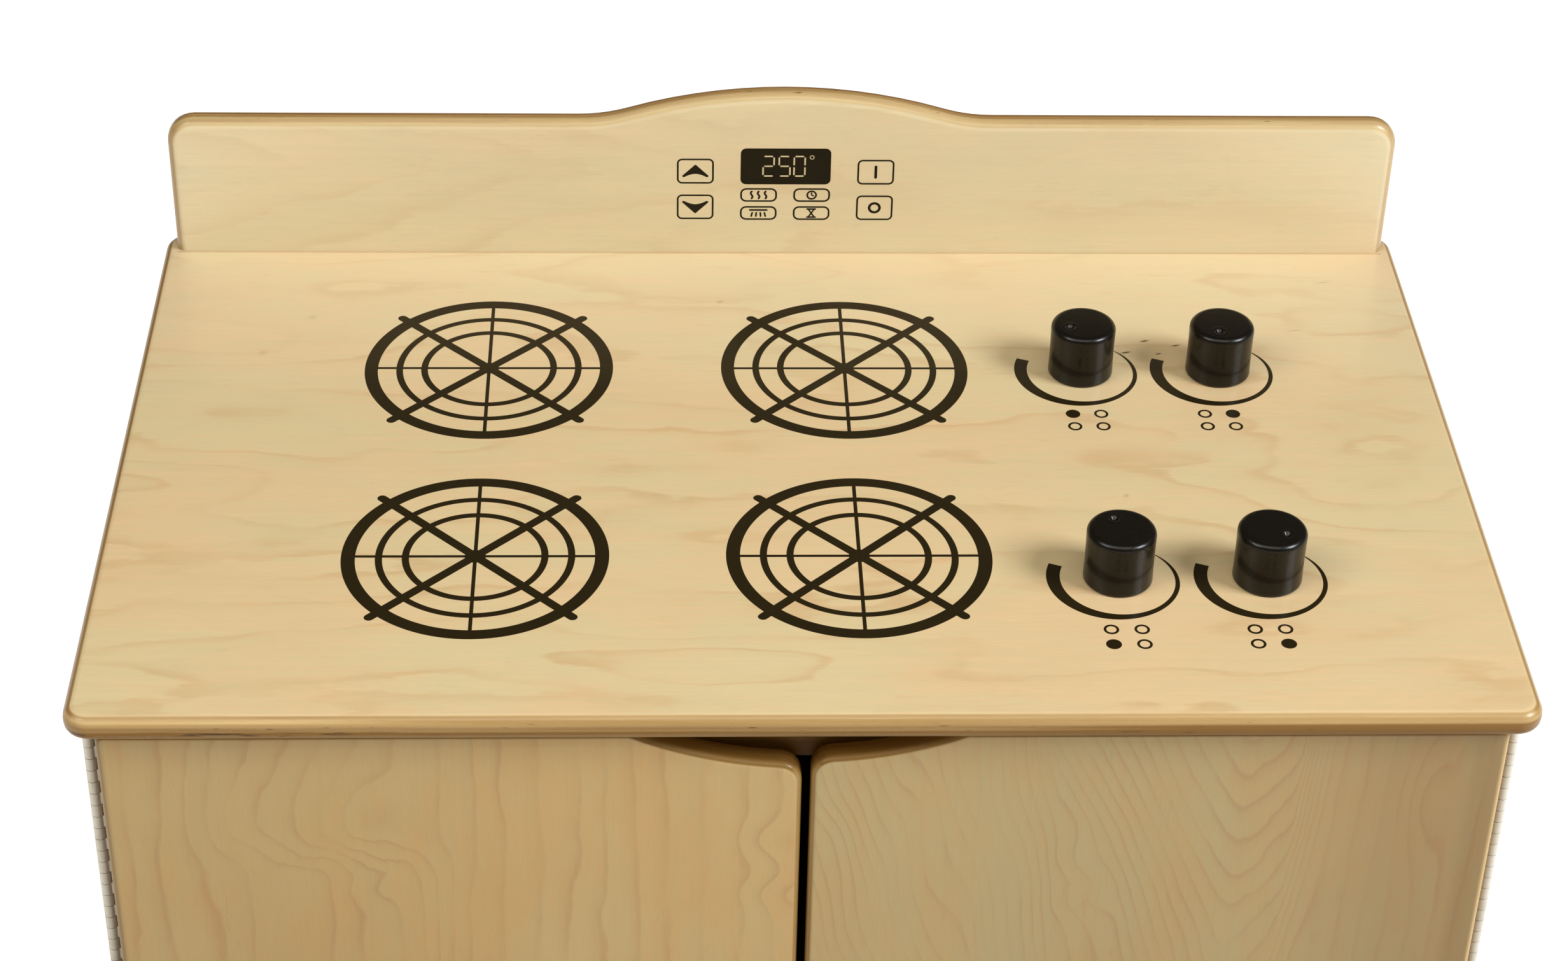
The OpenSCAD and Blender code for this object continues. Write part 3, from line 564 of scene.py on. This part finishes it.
def soften(mesh, angle=42.0):
    """Smooth normals across the faceted round-overs. Only the shading changes."""
    nl = len(mesh.loops)
    co = np.empty(len(mesh.vertices) * 3)
    mesh.vertices.foreach_get("co", co)
    keys = np.round(co.reshape(-1, 3) * 1e7).astype(np.int64)
    _, group = np.unique(keys, axis=0, return_inverse=True)
    group = group.ravel()
    vert = np.empty(nl, np.int64)
    mesh.loops.foreach_get("vertex_index", vert)
    fn = np.empty(len(mesh.polygons) * 3)
    mesh.polygons.foreach_get("normal", fn)
    fn = fn.reshape(-1, 3)
    area = np.empty(len(mesh.polygons))
    mesh.polygons.foreach_get("area", area)
    total = np.empty(len(mesh.polygons), np.int64)
    mesh.polygons.foreach_get("loop_total", total)
    face = np.repeat(np.arange(len(mesh.polygons)), total)
    at = group[vert]
    order = np.argsort(at, kind="stable")
    starts = np.flatnonzero(np.r_[True, np.diff(at[order]) != 0])
    ends = np.r_[starts[1:], nl]
    limit = math.cos(math.radians(angle))
    out = np.zeros((nl, 3))
    for a, b in zip(starts, ends):
        ls = order[a:b]
        n, w = fn[face[ls]], area[face[ls]]
        near = (n @ n.T) > limit
        out[ls] = (near * w) @ n
    size = np.linalg.norm(out, axis=1)
    bad = size < 1e-12
    out[bad] = fn[face[bad]]
    size[bad] = 1
    out /= size[:, None]
    mesh.polygons.foreach_set("use_smooth", np.ones(len(mesh.polygons), bool))
    mesh.normals_split_custom_set([tuple(v) for v in out])


for node_name, obj in NODES.items():
    slot_name = obj.material_slots[0].material.name if obj.material_slots else ""
    mat = WOOD.get(node_name) or BY_SLOT.get(slot_name.split(".")[0])
    if mat is None:
        raise RuntimeError(f"no material for {node_name} ({slot_name})")
    for s in obj.material_slots:
        s.material = mat
    soften(obj.data)


# ---------------------------------------------------------------- printed artwork


def circle(cx, cy, r, n=96, a0=0.0, a1=360.0):
    full = abs(a1 - a0) >= 359.999
    count = n if full else n + 1
    return [
        (cx + r * math.cos(math.radians(a0 + (a1 - a0) * i / n)), cy + r * math.sin(math.radians(a0 + (a1 - a0) * i / n)))
        for i in range(count)
    ]


def ring(cx, cy, r, w, n=96):
    return [circle(cx, cy, r, n), circle(cx, cy, r - w, n)]


def bar(cx, cy, angle, r0, r1, w, cap=0):
    """A straight bar from r0 to r1 along angle, its far end rounded where cap is above 0."""
    a = math.radians(angle)
    d, s = (math.cos(a), math.sin(a)), (-math.sin(a), math.cos(a))
    pts = [(r0, -w / 2)]
    if cap:
        pts += [(r1 - w / 2 + w / 2 * math.sin(math.pi * i / cap), -w / 2 * math.cos(math.pi * i / cap)) for i in range(cap + 1)]
    else:
        pts += [(r1, -w / 2), (r1, w / 2)]
    pts += [(r0, w / 2)]
    return [[(cx + p * d[0] + q * s[0], cy + p * d[1] + q * s[1]) for p, q in pts]]


def rounded(x0, y0, x1, y1, r, n=6):
    pts = []
    for cx, cy, a in ((x1 - r, y0 + r, -90), (x1 - r, y1 - r, 0), (x0 + r, y1 - r, 90), (x0 + r, y0 + r, 180)):
        pts += circle(cx, cy, r, n, a, a + 90)
    return pts


def frame_of(x0, y0, x1, y1, r, w):
    return [rounded(x0, y0, x1, y1, r), rounded(x0 + w, y0 + w, x1 - w, y1 - w, max(0.2, r - w))]


def stroke(points, w):
    """A line of constant width through points, with round ends."""
    shapes = []
    for (x0, y0), (x1, y1) in zip(points, points[1:]):
        a = math.degrees(math.atan2(y1 - y0, x1 - x0))
        shapes.append([circle(x1, y1, w / 2, 10, a - 90, a + 90) + circle(x0, y0, w / 2, 10, a + 90, a + 270)])
    return shapes


def inside(loops, p):
    """Even-odd test of points p against the loops of one shape."""
    hit = np.zeros(len(p), bool)
    for loop in loops:
        q = np.array(loop)
        x1, y1 = q[:, 0], q[:, 1]
        x2, y2 = np.roll(x1, -1), np.roll(y1, -1)
        for i in range(len(q)):
            c = (y1[i] > p[:, 1]) != (y2[i] > p[:, 1])
            if not c.any():
                continue
            xs = (x2[i] - x1[i]) * (p[:, 1] - y1[i]) / (y2[i] - y1[i] + 1e-30) + x1[i]
            hit ^= c & (p[:, 0] < xs)
    return hit


def flat(name, shapes, place, low, high, mat, body="root"):
    """One thin closed solid: the union of flat shapes, from low to high over the surface that place() maps onto."""
    verts, edges = [], []
    for loops in shapes:
        for loop in loops:
            k = len(verts)
            verts += [Vector(p) for p in loop]
            edges += [(k + i, k + (i + 1) % len(loop)) for i in range(len(loop))]
    v2, _, tris, _, _, _ = delaunay_2d_cdt(verts, edges, [], 0, 1e-4)
    p = np.array([(v.x, v.y) for v in v2])
    t = np.array([list(f) for f in tris if len(f) == 3])
    mid = p[t].mean(axis=1)
    keep = np.zeros(len(t), bool)
    for loops in shapes:
        keep |= inside(loops, mid)
    t = t[keep]
    area = (p[t[:, 1], 0] - p[t[:, 0], 0]) * (p[t[:, 2], 1] - p[t[:, 0], 1]) - (p[t[:, 2], 0] - p[t[:, 0], 0]) * (p[t[:, 1], 1] - p[t[:, 0], 1])
    t[area < 0] = t[area < 0][:, ::-1]
    used = np.unique(t)
    index = {int(k): i for i, k in enumerate(used)}
    n = len(used)
    base = [place(*p[k], low) for k in used]
    roof = [place(*p[k], high) for k in used]
    faces, rim = [], {}
    for tri in t:
        a, b, c = (index[int(k)] for k in tri)
        faces.append((a + n, b + n, c + n))
        faces.append((c, b, a))
        for e in ((a, b), (b, c), (c, a)):
            rim[e] = rim.get(e, 0) + 1
    for a, b in rim:
        if (b, a) not in rim:
            faces.append((a, b, b + n, a + n))
    mesh = bpy.data.meshes.new(name)
    mesh.from_pydata([tuple(c / 1000 for c in q) for q in base + roof], [], faces)
    mesh.validate()
    if mesh.polygons and place(0, 0, 1)[Z] == place(0, 0, 0)[Z]:
        mesh.flip_normals()  # the backsplash mapping is mirrored
    obj = bpy.data.objects.new(name, mesh)
    scene.collection.objects.link(obj)
    mesh.materials.append(mat)
    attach(obj, body)
    return obj


def on_top(x, y, h):
    return (x, y, TOP + h)


def on_splash(x, z, h):
    return (x, SPLASH_Y - h, TOP + z)


def burner(cx, cy):
    shapes = [ring(cx, cy, 58.0, 6.1, 160), ring(cx, cy, 43.3, 3.1, 128), ring(cx, cy, 31.7, 3.1, 112)]
    for a in (45, 135, 225, 315):
        shapes.append(bar(cx, cy, a, 0, 63.0, 4.4, 8))
    for a in (0, 90, 180, 270):
        shapes.append(bar(cx, cy, a, 0, 54.0, 1.65))
    shapes.append([circle(cx, cy, 4.6, 40)])
    return shapes


for tag, (bx, by) in {"back_left": (-141.0, 67.6), "back_right": (25.7, 67.6), "front_left": (-141.0, -79.5), "front_right": (25.7, -79.5)}.items():
    flat("burner_" + tag, burner(bx, by), on_top, -0.02, 0.05, INK)


def scale_arc(cx, cy):
    """From a square thick end at 158 degrees, round the front, thinning to nothing behind the knob."""
    outer, inner = [], []
    for i in range(101):
        a = 158 + (404 - 158) * i / 100
        r = 29.0 - 3.0 * (max(0, a - 340) / 65) ** 2
        c, s = math.cos(math.radians(a)), math.sin(math.radians(a))
        b = 1.9 * c - 0.5 * s
        q = b + math.sqrt(max(0, b * b - (1.9**2 + 0.5**2) + 25.0**2))
        q = min(q, r - 0.05)
        outer.append((cx + r * c, cy + r * s))
        inner.append((cx + q * c, cy + q * s))
    return [[outer + inner[::-1]]]


ARCS = {"back_left": (134.8, 65.4), "back_right": (199.0, 65.4), "front_left": (134.8, -96.0), "front_right": (199.0, -96.0)}
DOTS = {  # left column x, right column x, rear row y, front row y, filled (column, row)
    "back_left": (130.0, 143.1, 29.75, 19.6, (0, 0)),
    "back_right": (191.35, 204.4, 29.8, 19.65, (1, 0)),
    "front_left": (130.2, 143.3, -131.8, -141.9, (0, 1)),
    "front_right": (191.5, 204.45, -131.8, -141.8, (1, 1)),
}
for tag, (ax, ay) in ARCS.items():
    shapes = scale_arc(ax, ay)
    x0, x1, y0, y1, full = DOTS[tag]
    for i, dx in enumerate((x0, x1)):
        for j, dy in enumerate((y0, y1)):
            shapes.append([circle(dx, dy, 3.35, 40)] if (i, j) == full else ring(dx, dy, 3.3, 1.12, 40))
    flat("scale_" + tag, shapes, on_top, -0.02, 0.05, INK)


def arrow(cx, cz, up):
    """An arrowhead with a hollow base."""
    s = 1 if up else -1
    tip = [(6.2, -2.35), (5.9, -2.95), (5.3, -3.0)]
    hollow = [(5.3 - 10.6 * i / 12, -3.0 + 1.65 * math.sin(math.pi * i / 12)) for i in range(1, 12)]
    pts = [(0.35, 3.05)] + tip + hollow + [(-x, z) for x, z in tip[::-1]] + [(-0.35, 3.05), (0, 3.2)]
    return [[[(cx + x * 1.04, cz + s * z * 1.12) for x, z in pts]]]


SEGMENTS = {"0": "abcdef", "2": "abged", "5": "afgcd"}


def numeral(cx, cz, digit, w=5.3, h=11.0, t=0.74):
    """One seven-segment numeral in an upright field w by h, its segments a little apart."""
    shapes, gap = [], 0.52
    a, m, b = cz + h / 2, cz, cz - h / 2
    lines = {
        "a": ((-w / 2, a), (w / 2, a)), "g": ((-w / 2, m), (w / 2, m)), "d": ((-w / 2, b), (w / 2, b)),
        "f": ((-w / 2, a), (-w / 2, m)), "b": ((w / 2, a), (w / 2, m)),
        "e": ((-w / 2, m), (-w / 2, b)), "c": ((w / 2, m), (w / 2, b)),
    }
    for k in SEGMENTS[digit]:
        (x0, z0), (x1, z1) = lines[k]
        d = math.hypot(x1 - x0, z1 - z0)
        ux, uz = (x1 - x0) / d, (z1 - z0) / d
        g = gap + t / 2
        shapes += stroke([(cx + x0 + ux * g, z0 + uz * g), (cx + x1 - ux * g, z1 - uz * g)], t)
    return shapes


flat("display_field", [[rounded(-21.7, 38.9, 22.3, 59.0, 2.8)]], on_splash, -0.02, 0.05, PANEL_INK)
digits = numeral(-8.1, 49.1, "2") + numeral(-0.3, 49.1, "5") + numeral(7.0, 49.1, "0") + [ring(13.0, 54.1, 1.15, 0.35, 24)]
flat("display_numerals", digits, on_splash, 0.03, 0.09, NUMERAL)

buttons = []
for x0, z0, x1, z1, r in (
    (-52.7, 39.2, -34.7, 53.2, 2.6), (-52.7, 19.0, -34.7, 33.0, 2.6),
    (35.3, 38.9, 53.3, 52.8, 2.6), (35.3, 18.7, 53.3, 32.7, 2.6),
    (-21.7, 29.0, -3.7, 36.7, 3.0), (4.3, 29.0, 22.3, 36.7, 3.0),
    (-21.7, 18.7, -3.7, 26.5, 3.0), (4.3, 18.7, 22.3, 26.5, 3.0),
):
    buttons.append(frame_of(x0, z0, x1, z1, r, 0.86))
flat("button_outlines", buttons, on_splash, -0.02, 0.05, PANEL_INK)
flat("arrow_up", arrow(-43.7, 46.2, True), on_splash, -0.02, 0.05, PANEL_INK)
flat("arrow_down", arrow(-43.7, 26.0, False), on_splash, -0.02, 0.05, PANEL_INK)

# Plain signs in the place of words: a line for on, a ring for off, heat waves, a dial, rays and a sand glass
flat("sign_line", stroke([(44.3, 42.9), (44.3, 48.9)], 1.35), on_splash, -0.02, 0.05, PANEL_INK)
flat("sign_ring", [ring(44.3, 25.7, 3.2, 1.3, 40)], on_splash, -0.02, 0.05, PANEL_INK)


def wave(x, z0, z1, w):
    pts = [(x + 0.45 * math.sin(2 * math.pi * i / 10), z0 + (z1 - z0) * i / 10) for i in range(11)]
    return stroke(pts, w)


heat = []
for dx in (-3.4, 0.0, 3.4):
    heat += wave(-12.7 + dx, 30.9, 34.8, 0.95)
flat("sign_waves", heat, on_splash, -0.02, 0.05, PANEL_INK)
dial = [ring(13.3, 32.85, 2.6, 0.85, 36)] + stroke([(13.3, 34.2), (13.3, 32.85), (14.3, 32.35)], 0.62)
flat("sign_dial", dial, on_splash, -0.02, 0.05, PANEL_INK)
rays = stroke([(-16.8, 24.3), (-8.6, 24.3)], 0.95)
for dx in (-3.0, -1.0, 1.0, 3.0):
    rays += stroke([(-12.7 + dx, 22.7), (-12.7 + dx * 1.15, 20.8)], 0.85)
flat("sign_rays", rays, on_splash, -0.02, 0.05, PANEL_INK)
glass = stroke([(11.3, 24.9), (15.3, 24.9)], 0.85) + stroke([(11.3, 20.3), (15.3, 20.3)], 0.85)
glass += stroke([(11.9, 24.8), (14.7, 20.4)], 0.75) + stroke([(14.7, 24.8), (11.9, 20.4)], 0.75)
flat("sign_glass", glass, on_splash, -0.02, 0.05, PANEL_INK)


# ---------------------------------------------------------------- knob caps


def knob_cap(tag, kx, ky, pointer):
    """A dip-moulded cap: slightly waisted wall, soft top edge, a crowned top with a pip, hollow underneath."""
    n = 144
    dx, dy = 7.3 * math.cos(math.radians(pointer)), 7.3 * math.sin(math.radians(pointer))
    prof = [(12.8, 0.4), (13.8, 0.4)]
    prof += [(14.3 + 0.8 * math.sin(math.radians(a)), 1.2 - 0.8 * math.cos(math.radians(a))) for a in (0, 22, 45, 67, 90)]
    for z in (2.2, 3.6, 5.6, 8, 11, 14, 17, 20, 22.5):
        prof.append((15.1 - 0.16 * math.sin(math.pi * min(1, (z - 1.2) / 22.8)), z))
    prof += [(12.1 + 3.0 * math.cos(math.radians(a)), 24.0 + 2.86 * math.sin(math.radians(a))) for a in range(0, 91, 9)]
    r = 11.7
    while r > 0.35:
        prof.append((r, 26.86 + 0.14 * (1 - (r / 12.1) ** 2)))
        r -= 0.38
    verts, faces = [], []

    def top_z(x, y, z, r):
        if r > 12.6 or z < 20:
            return z
        d = math.hypot(x - dx, y - dy)
        return z - 1.7 * math.exp(-((d / 1.6) ** 2.4)) + 0.13 * math.exp(-(((d - 2.7) / 0.75) ** 2))

    for pr, pz in prof:
        for i in range(n):
            a = 2 * math.pi * i / n
            x, y = pr * math.cos(a), pr * math.sin(a)
            verts.append((x, y, top_z(x, y, pz, pr)))
    m = len(prof)
    for j in range(m - 1):
        for i in range(n):
            k = (i + 1) % n
            faces.append((j * n + i, j * n + k, (j + 1) * n + k, (j + 1) * n + i))
    verts.append((0, 0, top_z(0, 0, 27.0, 0)))
    for i in range(n):
        faces.append(((m - 1) * n + i, (m - 1) * n + (i + 1) % n, len(verts) - 1))
    # the hollow
    base = len(verts)
    for pr, pz in ((12.8, 24.7), (6.0, 24.7)):
        for i in range(n):
            a = 2 * math.pi * i / n
            verts.append((pr * math.cos(a), pr * math.sin(a), pz))
    verts.append((0, 0, 24.7))
    for i in range(n):
        k = (i + 1) % n
        faces.append((k, i, base + i, base + k))
        faces.append((base + k, base + i, base + n + i, base + n + k))
        faces.append((base + n + k, base + n + i, len(verts) - 1))
    mesh = bpy.data.meshes.new("knob_cap_" + tag)
    mesh.from_pydata([((x + kx) / 1000, (y + ky) / 1000, (z + TOP) / 1000) for x, y, z in verts], [], faces)
    mesh.validate()
    mesh.polygons.foreach_set("use_smooth", [True] * len(mesh.polygons))
    sharp = mesh.attributes.new("sharp_edge", "BOOLEAN", "EDGE")
    flags = []
    for e in mesh.edges:
        a, b = e.vertices
        low = [q < n or (base <= q < base + n) for q in (a, b)]
        flags.append(all(low) and abs(a - b) in (1, n - 1))
    sharp.data.foreach_set("value", flags)
    obj = bpy.data.objects.new("knob_cap_" + tag, mesh)
    scene.collection.objects.link(obj)
    mesh.materials.append(VINYL)
    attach(obj, "knob_" + tag)
    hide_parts(f"knob_{tag}_cap")


for tag, (kx, ky, pointer) in KNOBS.items():
    knob_cap(tag, kx, ky, pointer)


# ---------------------------------------------------------------- floor, light and camera

floor_net = Net("pale_floor_painted_light")
fp = floor_net.object_mm()
cloudy = floor_net.noise(floor_net.at(fp[0] * (1 / 900), fp[1] * (1 / 900), 0.0), 2.0)
# painted shade: the floor is darker in front of the stove, which also cuts its bounce light onto the doors
floor_net.set(Base_Color=floor_net.scale(floor_net.mix(cloudy, (0.82, 0.82, 0.81), (0.80, 0.80, 0.795)), floor_net.step(fp[1], -420.0, 60.0) * 0.24 + 0.76), Roughness=0.85, Specular_IOR_Level=0.2)
# painted light: the floor glows away from the stove, so the far floor reads white
away = floor_net.most(floor_net.step(fp[1], -60.0, 330.0), floor_net.step(abs(fp[0]), 400.0, 1000.0))
away = floor_net.most(away, floor_net.step(fp[1] * -1.0, 800.0, 1700.0))
floor_net.set(Emission_Color=(1.0, 1.0, 1.0, 1.0), Emission_Strength=away * 0.82 + 0.02)
floor_mesh = bpy.data.meshes.new("floor")
floor_mesh.from_pydata([(-14, -14, 0), (14, -14, 0), (14, 14, 0), (-14, 14, 0)], [], [(0, 1, 2, 3)])
floor = bpy.data.objects.new("floor", floor_mesh)
scene.collection.objects.link(floor)
floor_mesh.materials.append(floor_net.mat)

world = bpy.data.worlds.new("studio")
world.use_nodes = True
world.node_tree.nodes["Background"].inputs[0].default_value = (1.0, 0.94, 0.80, 1.0)
world.node_tree.nodes["Background"].inputs[1].default_value = 0.09
scene.world = world


def softbox(name, azimuth, elevation, distance, width, height, power, colour=(1, 1, 1), aim=(0, 0, 0.60)):
    """A rectangular softbox. Azimuth 0 is in front of the stove and 90 to its right."""
    data = bpy.data.lights.new(name, "AREA")
    data.shape, data.size, data.size_y = "RECTANGLE", width, height
    data.energy, data.color = power, colour
    a, e = math.radians(azimuth), math.radians(elevation)
    away = Vector((math.sin(a) * math.cos(e), -math.cos(a) * math.cos(e), math.sin(e)))
    obj = bpy.data.objects.new(name, data)
    obj.location = Vector(aim) + away * distance
    obj.rotation_mode = "QUATERNION"
    obj.rotation_quaternion = away.to_track_quat("Z", "Y")
    scene.collection.objects.link(obj)


softbox("key_right", 66, 37, 3.0, 1.05, 1.05, 77, (0.975, 1.0, 1.06))
softbox("fill_left", -60, 45, 1.9, 0.8, 0.8, 11.6, (1.02, 0.99, 0.93))
softbox("over_front", 0, 62, 1.24, 1.1, 0.6, 5.1, (1.02, 0.99, 0.93))

cam_data = bpy.data.cameras.new("camera")
cam_data.sensor_width = 36.0
cam_data.lens = 5306.0 * 36.0 / 2464.0
cam_data.clip_start, cam_data.clip_end = 0.05, 60.0
cam = bpy.data.objects.new("camera", cam_data)
scene.collection.objects.link(cam)
yaw, pitch, roll = (math.radians(a) for a in (2.558, 35.534, -1.449))
fwd = Vector((math.sin(yaw) * math.cos(pitch), math.cos(yaw) * math.cos(pitch), -math.sin(pitch)))
right = Vector((math.cos(yaw), -math.sin(yaw), 0))
down = fwd.cross(right)
r2 = math.cos(roll) * right + math.sin(roll) * down
d2 = -math.sin(roll) * right + math.cos(roll) * down
cam.matrix_world = Matrix.Translation((-0.0604, -1.2542, 1.4897)) @ Matrix((r2, -d2, -fwd)).transposed().to_4x4()
scene.camera = cam
